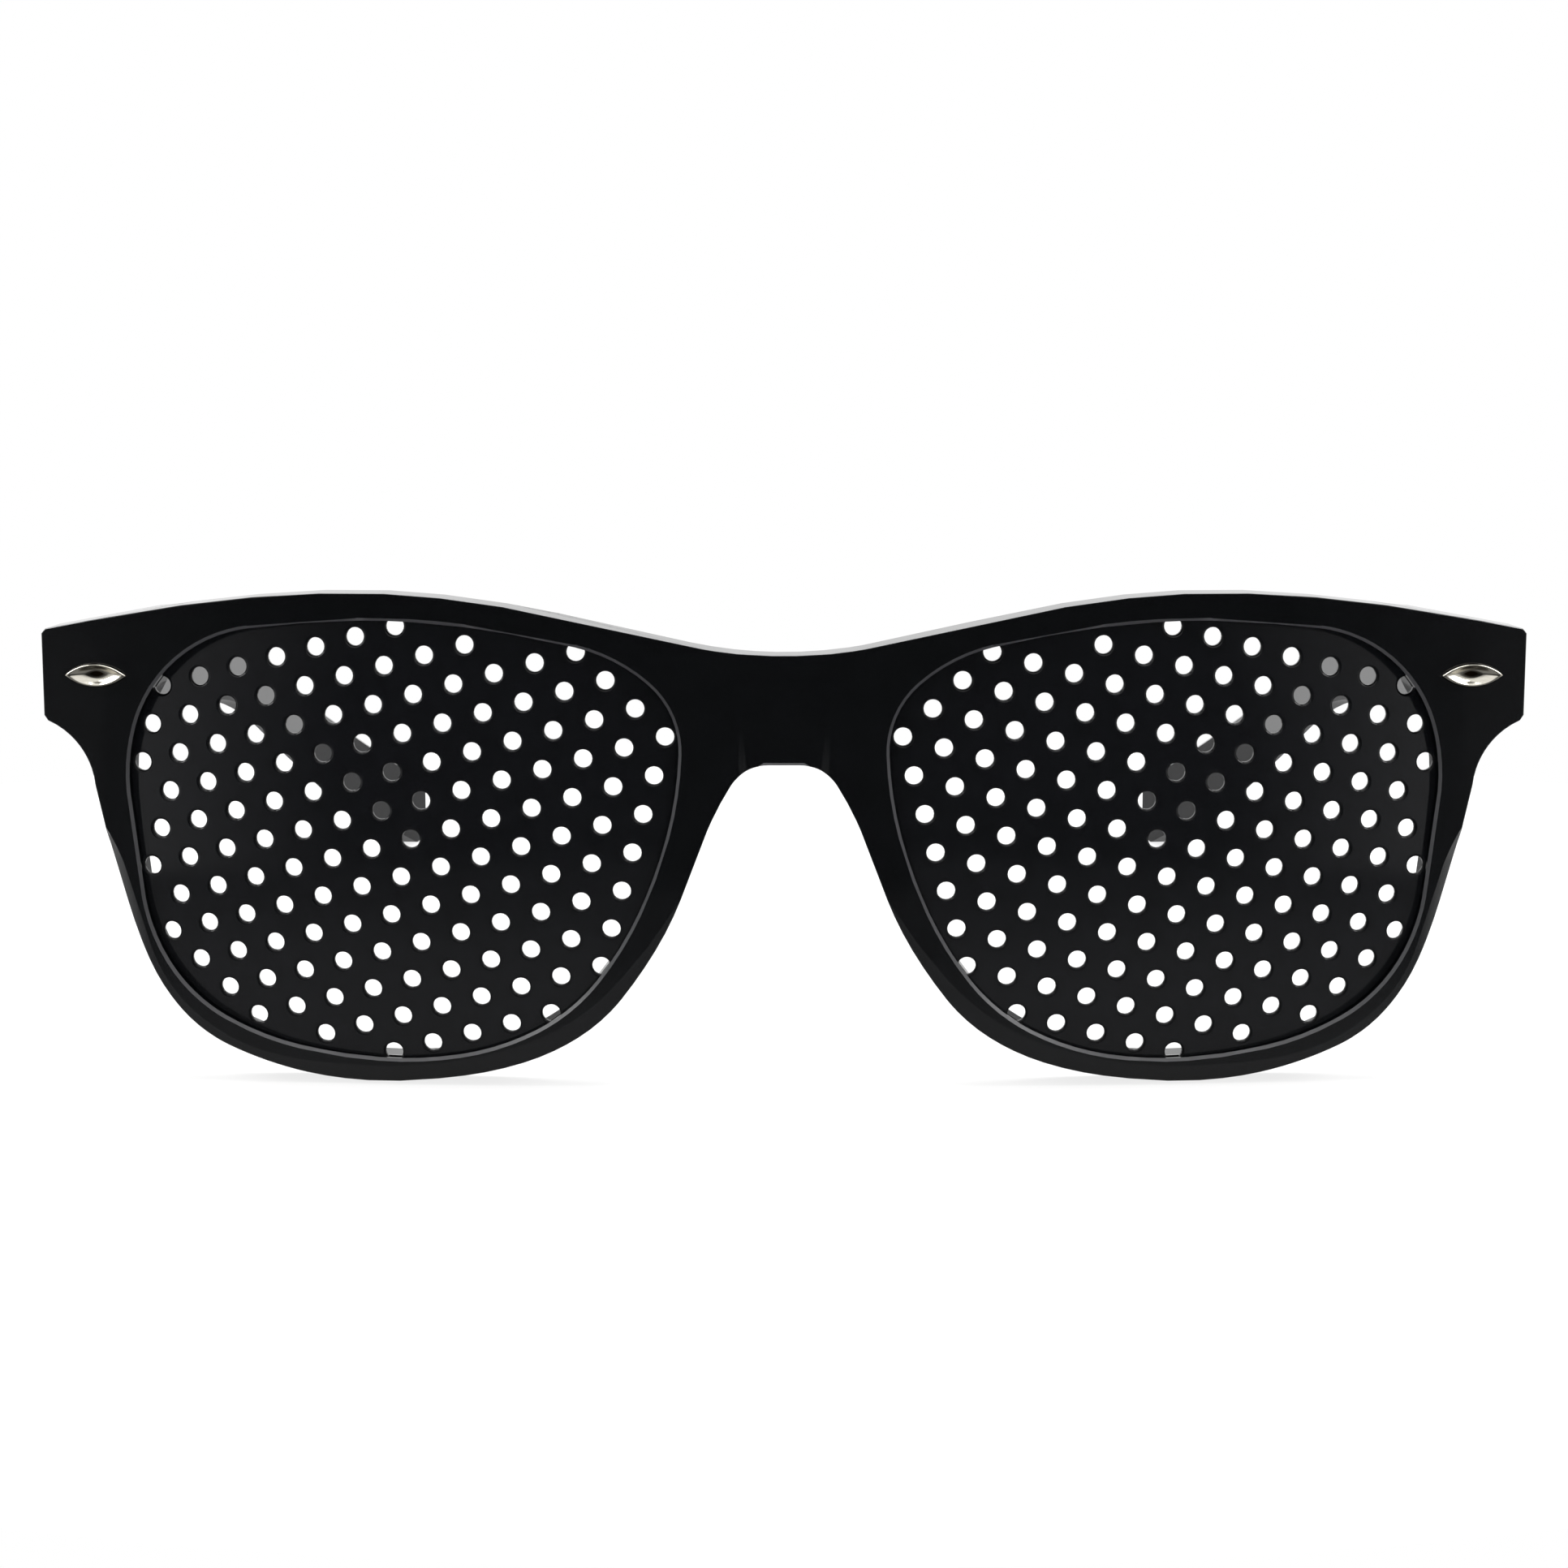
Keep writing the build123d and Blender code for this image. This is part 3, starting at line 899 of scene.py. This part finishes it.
    def build(self) -> Object:
        """Make the plate and put it in its rim.

        Returns:
            The finished piece, riding the front.
        """
        name = self.side.word + "_pinhole_plate"
        edge = self.outline(self.tuck)
        holes = self.hole_places()
        count = len(edge)
        points = [(x * MM, z * MM, 0.0) for x, z in np.concatenate([edge, holes])]
        mesh = bpy.data.meshes.new(name)
        mesh.from_pydata(points, [(i, (i + 1) % count) for i in range(count)], [])
        mark = mesh.attributes.new("hole", "BOOLEAN", "POINT")
        mark.data.foreach_set("value", [i >= count for i in range(len(points))])
        piece = grown(name + "_pierced", mesh, self.tree(), self.sizes())
        mesh = piece.data
        close_shell(mesh)
        flat = mesh_points(mesh)[:, :2] / MM
        gaps = np.linalg.norm(flat[:, None, :] - holes[None, :, :], axis=2).min(axis=1)
        # The lips of the holes get painted shade
        mark_hollow(mesh, np.where(gaps < (self.hole + self.lip_width) / 2, 1.0, 0.0))
        centre = self.placed(mesh)
        close_shell(mesh)
        self.smooth_skin(mesh, centre)
        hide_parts(name)
        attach(piece, "front")
        LOG.info("%s: %d holes, %d faces", name, len(holes), len(mesh.polygons))
        return piece


# The moulded front and temples


@dataclass
class MouldedFront:
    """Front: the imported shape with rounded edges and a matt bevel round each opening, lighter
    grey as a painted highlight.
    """

    material: Material
    front: FrontShape
    edge: float = 0.12
    same_point: float = 0.002
    join: float = 0.05
    flat_angle: float = 2.0
    opening_bevel: float = 0.3
    # An opening's front edge: how sharp it is in degrees, how near to the wrapped face it lies,
    # the share of its wall's normal that may point forwards, and where the end pieces and the
    # pockets of the trims start
    opening_sharp: float = 60.0
    face_play: float = 0.35
    wall_facing: float = 0.5
    opening_end: float = 64.3
    trim_start: float = 63.4
    trim_bottom: float = 36.0

    def on_opening(self, edge: bmesh.types.BMEdge) -> bool:
        """Tell whether an edge of the mesh is the front edge of an opening.

        Args:
            edge: The edge.

        Returns:
            True for the front edge of an opening.
        """
        sharp = math.radians(self.opening_sharp)
        if len(edge.link_faces) != 2 or edge.calc_face_angle(0.0) < sharp:
            return False
        middle = (edge.verts[0].co + edge.verts[1].co) / 2 / MM
        across = abs(middle.x)
        if abs(middle.y - self.front.y - self.front.fall(across)) > self.face_play:
            return False
        if across > self.opening_end or across > self.trim_start and middle.z > self.trim_bottom:
            return False
        opening_x = math.copysign(self.front.opening_x, middle.x)
        centre = Vector((opening_x, middle.y, self.front.opening_z))
        wall = min((face.normal for face in edge.link_faces), key=lambda n: abs(n.y))
        return abs(wall.y) < self.wall_facing and wall.dot(centre - middle) > 0

    def build(self) -> Object:
        """Make the finished front.

        Returns:
            The piece, riding the front.
        """
        mesh = frame["nodes"]["front_frame"].data.copy()
        shell = bmesh.new()
        shell.from_mesh(mesh)
        bmesh.ops.remove_doubles(shell, verts=shell.verts, dist=self.same_point * MM)
        bmesh.ops.dissolve_limit(
            shell,
            angle_limit=math.radians(self.flat_angle),
            verts=shell.verts,
            edges=shell.edges,
        )
        # Faces of the bevel round an opening are marked, and the material gives them a lighter grey
        # as a painted highlight
        satin = shell.faces.layers.float.new("satin")
        rim = [edge for edge in shell.edges if self.on_opening(edge)]
        cut = bmesh.ops.bevel(
            shell,
            geom=rim,
            offset=self.opening_bevel * MM,
            segments=1,
            affect="EDGES",
            clamp_overlap=False,
        )
        for face in cut["faces"]:
            face[satin] = 1.0
        shell.to_mesh(mesh)
        shell.free()
        piece = add_object("front_frame_finished", mesh)
        round_edges(piece, self.edge, join=self.join, flat_angle=self.flat_angle)
        dress(piece, self.material)
        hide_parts("front_frame")
        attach(piece, "front")
        LOG.info("front_frame: %d edges of the openings beveled", len(rim))
        return piece


@dataclass
class MouldedTemple:
    """Temple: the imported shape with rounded, polished edges."""

    side: Side
    material: Material
    edge: float = 0.125

    def build(self) -> Object:
        """Finish the temple.

        Returns:
            The finished node.
        """
        name = self.side.word + "_temple"
        node = frame["nodes"][name]
        round_edges(node, self.edge)
        dress(node, self.material)
        LOG.info("%s: edges rounded by %.2f mm", name, self.edge)
        return node


# Hinges, rivets and trims


@dataclass
class HingeSide:
    """Hinge of one side: its two leaves, its screw and its rivets, in millimetres."""

    side: Side
    hinge: Material
    leaf_edge: float = 0.04
    leaf_thickness: float = 0.8
    front_leaf_length: float = 3.2
    temple_leaf_start: float = 1.6
    temple_leaf_length: float = 8.0
    rivet_radius: float = 0.75
    rivet_height: float = 0.3
    rivet_sides: int = 24
    rivet_rings: int = 12
    rivet_step_front: float = 3.2
    rivet_step_temple: float = 4.2

    def build(self) -> None:
        """Finish the metal nodes and add the rivets."""
        for part in ("front_hinge_leaf", "temple_hinge_leaf", "hinge_screw"):
            node = frame["nodes"][f"{self.side.word}_{part}"]
            round_edges(node, self.leaf_edge)
            dress(node, self.hinge)
        self.front_rivets()
        self.temple_rivets()

    def rivet_tree(self, turn: tuple[float, float, float]) -> NodeTree:
        """Geometry Nodes tree that puts a domed rivet head on every point.

        Args:
            turn: Rotation of the heads, whose own axis is Z.

        Returns:
            The tree.
        """
        tree, start = new_tree("rivet_heads", ("Radius", "Height"))
        size = start.outputs
        ball = add_node(
            tree,
            "GeometryNodeMeshUVSphere",
            inputs={"Segments": self.rivet_sides, "Rings": self.rivet_rings, "Radius": 1.0},
        )
        ball = add_node(tree, "GeometryNodeSetShadeSmooth", {"domain": "FACE"}, {0: ball})
        scale = add_node(
            tree,
            "ShaderNodeCombineXYZ",
            inputs={"X": size["Radius"], "Y": size["Radius"], "Z": size["Height"]},
        )
        heads = add_node(
            tree,
            "GeometryNodeInstanceOnPoints",
            inputs={"Points": size["Geometry"], "Instance": ball, "Rotation": turn, "Scale": scale},
        )
        return finish_tree(tree, heads, self.hinge)

    def rivets(self, name: str, places: list[Vector], out: Vector, body: str) -> None:
        """Add rivet heads that stand on a leaf.

        Args:
            name: Name of the piece.
            places: Their centres, in metres.
            out: Direction that the heads face.
            body: Body that the leaf belongs to.
        """
        mesh = bpy.data.meshes.new(name)
        mesh.from_pydata([tuple(place) for place in places], [], [])
        turn = out.to_track_quat("Z", "Y").to_euler()
        sizes = {"Radius": self.rivet_radius * MM, "Height": self.rivet_height * MM}
        piece = grown(name, mesh, self.rivet_tree(tuple(turn)), sizes)
        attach(piece, body)
        LOG.info("%s: %d heads", name, len(places))

    def front_rivets(self) -> None:
        """Two heads, one above the other, on the plate of the front's leaf."""
        low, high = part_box(self.side.word + "_front_hinge_leaf")
        sign = self.side.value
        inner = low.x if sign > 0 else high.x
        x = inner + sign * self.front_leaf_length * MM / 2
        y = low.y + self.leaf_thickness * MM
        middle = (low.z + high.z) / 2
        half = self.rivet_step_front / 2 * MM
        places = [Vector((x, y, middle + step)) for step in (-half, half)]
        self.rivets(f"{self.side.word}_front_hinge_rivets", places, Vector((0, 1, 0)), "front")

    def temple_rivets(self) -> None:
        """Two heads, one behind the other, on the plate of the temple's leaf."""
        low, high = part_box(self.side.word + "_temple_hinge_leaf")
        centre, along, out = TempleShape(self.side).place((low.z + high.z) / 2)
        centre += along * (self.temple_leaf_start * MM + self.temple_leaf_length * MM / 2)
        centre += out * (self.leaf_thickness * MM)
        half = self.rivet_step_temple / 2 * MM
        places = [centre + along * step for step in (-half, half)]
        body = self.side.word + "_temple_arm"
        self.rivets(f"{self.side.word}_temple_hinge_rivets", places, -out, body)


class TrimPlace(Enum):
    """The two places of a trim on each side."""

    FRONT = "front_trim"
    TEMPLE = "temple_trim"


@dataclass
class AlmondTrim:
    """Polished almond inlay: a bright raised border that falls into a dish, painted dark brown
    there as shade.
    """

    side: Side
    place: TrimPlace
    material: Material
    front: FrontShape
    length: float = 6.2
    height: float = 2.2
    arc_points: int = 28
    front_x: float = 67.1
    middle_z: float = 40.2
    temple_outer: float = 4.8
    temple_reach: float = 8.6
    dish_rise: float = 0.16

    # Rings from the bottom of the pocket to the middle of the dish: share of the outline,
    # height above the surface in millimetres, and share of painted shade
    RINGS = (
        (1.0, -0.34, 0.0), (1.0, 0.2, 0.0), (0.975, 0.31, 0.0), (0.93, 0.38, 0.0),
        (0.88, 0.36, 0.0), (0.82, 0.29, 0.0), (0.68, 0.1, 0.0), (0.54, -0.06, 0.0),
        (0.42, -0.16, 0.1), (0.34, -0.2, 0.6), (0.2, -0.22, 1.0), (0.08, -0.22, 1.0),
    )

    def plane(self) -> tuple[Vector, Vector, Vector]:
        """Find where the trim lies, on the left side.

        Returns:
            Its middle in metres, its length direction and its outward direction.
        """
        if self.place is TrimPlace.FRONT:
            return self.front.place(self.front_x, self.middle_z)
        hinge, along, out = TempleShape(Side.LEFT).place(self.middle_z * MM)
        return hinge + (out * self.temple_outer + along * self.temple_reach) * MM, along, out

    def outline(self) -> list[tuple[float, float]]:
        """Draw a pointed oval between two arcs.

        Returns:
            Its points, round its middle.
        """
        half, rise = self.length / 2, self.height / 2
        radius = (half**2 + rise**2) / (2 * rise)
        spread = math.asin(half / radius)
        upper = [
            (radius * math.sin(a), rise - radius * (1 - math.cos(a)))
            for a in np.linspace(spread, -spread, self.arc_points, endpoint=False)
        ]
        return upper + [(-x, -y) for x, y in upper]

    def build(self) -> Object:
        """Make the inlay.

        Returns:
            The finished piece, on the body that carries it.
        """
        middle, along, out = self.plane()
        mirror = Vector((self.side.value, 1.0, 1.0))
        shape = self.outline()
        count = len(shape)
        points, hollow, faces = [], [], [tuple(range(count))]
        for share, height, dark in self.RINGS:
            for x, y in shape:
                spot = middle + (along * x * share + out * height) * MM
                rise = y * share + self.dish_rise * (1 - share)
                points.append((spot + Vector((0, 0, rise * MM))) * mirror)
                hollow.append(dark)
        for ring in range(len(self.RINGS) - 1):
            for i in range(count):
                a, b = ring * count + i, ring * count + (i + 1) % count
                faces.append((a, b, b + count, a + count))
        last = len(points) - count
        faces.append(tuple(range(last, last + count)))
        name = f"{self.side.word}_{self.place.value}"
        mesh = bpy.data.meshes.new(name + "_inlay")
        mesh.from_pydata(points, [], faces)
        # The middle of the dish gets painted shade, dark brown
        mark_hollow(mesh, np.array(hollow))
        close_shell(mesh)
        piece = add_object(name + "_inlay", mesh)
        dress(piece, self.material)
        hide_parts(name)
        body = "front" if self.place is TrimPlace.FRONT else self.side.word + "_temple_arm"
        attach(piece, body)
        LOG.info("%s: inlay with %d faces", name, len(faces))
        return piece


# Studio


@dataclass(frozen=True)
class Softbox:
    """Square lamp that faces the glasses: place and size in millimetres, power in watts."""

    name: str
    place: tuple[float, float, float]
    size: float
    power: float


@dataclass
class Studio:
    """White studio: pale floor, soft lamps and the photograph's camera. Sizes in millimetres."""

    front: FrontShape
    camera_back: float = 270.1
    camera_height: float = 68.5
    camera_pitch: float = 8.09
    lens: float = 64.9
    sensor: float = 36.0
    nearest_seen: float = 10.0
    floor_radius: float = 190.0
    floor_sides: int = 96
    floor_colour: str = "#f2f2f1"
    white: str = "#ffffff"
    # Share of pure white in the floor that the camera sees
    floor_fade: float = 0.8
    # Strength of the world's light on the object, white in the camera being 1
    world_light: float = 0.55
    lamp_aim: tuple[float, float, float] = (0.0, -20.0, 20.0)

    # One wide lamp above, a little behind, and one at each side
    SOFTBOXES = (
        Softbox("top_softbox", (0.0, 60.0, 520.0), 420.0, 5.0),
        Softbox("left_softbox", (420.0, -60.0, 380.0), 260.0, 2.2),
        Softbox("right_softbox", (-420.0, -60.0, 380.0), 260.0, 2.2),
    )
    # Painted reflection: the floor glows in the gloss of the plastic, as bright as a product of
    # smooth steps: their start and end behind the front's foremost line, and the levels there. It
    # is dim in front of the glasses and under the front itself, where the dimness is a painted
    # shadow, and dimmer again far behind.
    FLOOR_STEPS = ((5.0, 9.0, 0.2, 1.0), (-80.0, -4.0, 0.4, 1.0), (60.0, 150.0, 1.0, 0.25))
    # Brightness of the world in that gloss, the higher of two ramps: axis of the direction, its
    # start and end, and the levels there. It is white behind and above, and dark in front.
    WORLD_RAMPS = (("Y", -0.92, -0.2, 0.03, 1.0), ("Z", 0.35, 0.75, 0.0, 1.0))

    def build(self) -> None:
        """Make the floor, the world, the lamps and the camera."""
        self.floor()
        self.world()
        self.lamps()
        self.camera()
        bpy.context.scene.view_settings.view_transform = "Standard"

    def floor_material(self) -> Material:
        """Pale to the eye; in gloss it glows as the floor's steps say, a painted reflection with a
        painted shadow under the front.

        Returns:
            The material.
        """
        material, tree = new_material("pale_studio_floor")
        lit = add_node(tree, "ShaderNodeBsdfDiffuse", inputs={"Color": linear(self.floor_colour)})
        white = add_node(tree, "ShaderNodeEmission", inputs={"Color": linear(self.white)})
        seen = add_node(tree, "ShaderNodeMixShader", inputs={0: self.floor_fade, 1: lit, 2: white})
        place = add_node(tree, "ShaderNodeTexCoord").outputs["Object"]
        spot = add_node(tree, "ShaderNodeSeparateXYZ", inputs={"Vector": place}).outputs
        steps = [
            add_node(
                tree,
                "ShaderNodeMapRange",
                {"interpolation_type": "SMOOTHSTEP"},
                ramp(spot["Y"], (self.front.y + start) * MM, (self.front.y + end) * MM, *levels),
            )
            for start, end, *levels in self.FLOOR_STEPS
        ]
        glow = steps[0]
        for step in steps[1:]:
            glow = add_node(tree, "ShaderNodeMath", {"operation": "MULTIPLY"}, {0: glow, 1: step})
        # Painted reflection: glow of the floor seen only in gloss, with a painted shadow under the
        # front
        painted_floor_reflection = add_node(
            tree, "ShaderNodeEmission", inputs={"Color": linear(self.white), "Strength": glow}
        )
        path = add_node(tree, "ShaderNodeLightPath").outputs
        other = add_node(
            tree, "ShaderNodeMixShader", inputs={0: path["Is Glossy Ray"], 1: lit, 2: painted_floor_reflection}
        )
        mix = add_node(
            tree, "ShaderNodeMixShader", inputs={0: path["Is Camera Ray"], 1: other, 2: seen}
        )
        add_node(tree, "ShaderNodeOutputMaterial", inputs={"Surface": mix})
        return material

    def floor(self) -> None:
        """Round pale floor that keeps the shadow and fades into the white background."""
        radius = self.floor_radius * MM
        turns = [2 * math.pi * i / self.floor_sides for i in range(self.floor_sides)]
        ring = [(radius * math.cos(turn), radius * math.sin(turn), 0.0) for turn in turns]
        mesh = bpy.data.meshes.new("studio_floor")
        mesh.from_pydata(ring, [], [tuple(range(self.floor_sides))])
        mesh.materials.append(self.floor_material())
        piece = add_object("studio_floor", mesh)

    def world(self) -> None:
        """White to the camera, even light on the object, and in gloss as the ramps say."""
        world = bpy.data.worlds.new("studio_world")
        bpy.context.scene.world = world
        world.use_nodes = True
        tree = world.node_tree
        tree.nodes.clear()
        place = add_node(tree, "ShaderNodeTexCoord").outputs["Generated"]
        way = add_node(tree, "ShaderNodeSeparateXYZ", inputs={"Vector": place}).outputs
        behind, above = (
            add_node(tree, "ShaderNodeMapRange", inputs=ramp(way[axis], *levels))
            for axis, *levels in self.WORLD_RAMPS
        )
        path = add_node(tree, "ShaderNodeLightPath").outputs
        bright, seen = (
            add_node(tree, "ShaderNodeMath", {"operation": "MAXIMUM"}, {0: first, 1: second})
            for first, second in (
                (behind, above),
                (path["Is Camera Ray"], path["Is Transmission Ray"]),
            )
        )
        glossy = add_node(
            tree,
            "ShaderNodeMix",
            {"data_type": "FLOAT"},
            {0: path["Is Glossy Ray"], 2: self.world_light, 3: bright},
        )
        strength = add_node(
            tree, "ShaderNodeMix", {"data_type": "FLOAT"}, {0: seen, 2: glossy, 3: 1.0}
        )
        background = add_node(
            tree,
            "ShaderNodeBackground",
            inputs={"Color": linear(self.white), "Strength": strength},
        )
        add_node(tree, "ShaderNodeOutputWorld", inputs={"Surface": background})

    def lamps(self) -> None:
        """Soft lamps, all turned towards the glasses."""
        for softbox in self.SOFTBOXES:
            data = bpy.data.lights.new(softbox.name, "AREA")
            data.shape = "SQUARE"
            data.size = softbox.size * MM
            data.energy = softbox.power
            lamp = add_object(softbox.name, data)
            lamp.location = Vector(softbox.place) * MM
            aim = Vector(self.lamp_aim) * MM - lamp.location
            lamp.rotation_euler = aim.to_track_quat("-Z", "Y").to_euler()

    def camera(self) -> None:
        """Camera in front of the glasses and a little above them."""
        data = bpy.data.cameras.new("photo_camera")
        data.lens = self.lens
        data.sensor_width = self.sensor
        data.clip_start = self.nearest_seen * MM
        camera = add_object("photo_camera", data)
        camera.location = Vector((0.0, self.front.y - self.camera_back, self.camera_height)) * MM
        camera.rotation_euler = (math.radians(90.0 - self.camera_pitch), 0.0, 0.0)
        bpy.context.scene.camera = camera


def main() -> None:
    logging.basicConfig(level=logging.INFO, format="%(name)s: %(message)s")
    front = FrontShape(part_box("front_frame")[0].y / MM)
    plastic = FRAME_PLASTIC.build()
    plate = PLATE_PLASTIC.build()
    hinge = HINGE_METAL.build()
    trim = TRIM_METAL.build()
    MouldedFront(plastic, front).build()
    for side in Side:
        MouldedTemple(side, plastic).build()
        PinholePlate(side, plate, front).build()
        HingeSide(side, hinge).build()
        for place in TrimPlace:
            AlmondTrim(side, place, trim, front).build()
    Studio(front).build()


if __name__ == "__main__":
    main()
